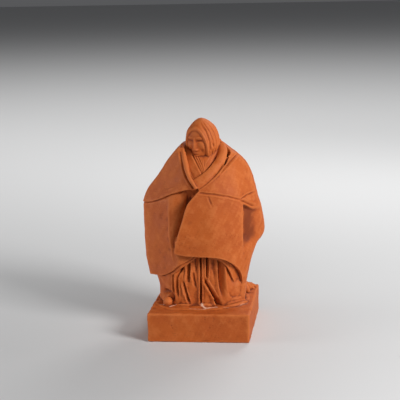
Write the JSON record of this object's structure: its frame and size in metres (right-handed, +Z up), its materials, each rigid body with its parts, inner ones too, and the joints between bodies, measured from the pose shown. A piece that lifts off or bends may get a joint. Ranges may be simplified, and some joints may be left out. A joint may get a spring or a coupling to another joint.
{
  "type": "clay monk statue",
  "caption": "Small fired-clay statue of a standing hooded figure wrapped in a heavy folded cloak, in one piece with its square plinth.",
  "frame": {"origin": "middle of the plinth's flat underside", "axes": "+Z up through the figure, -Y towards the front of the plinth, +X to the viewer's right"},
  "size_m": [0.1699, 0.14, 0.3023],
  "materials": {
    "terracotta": "matt unglazed fired clay"
  },
  "bodies": {
    "root": {"statue": "terracotta"}
  },
  "joints": []
}
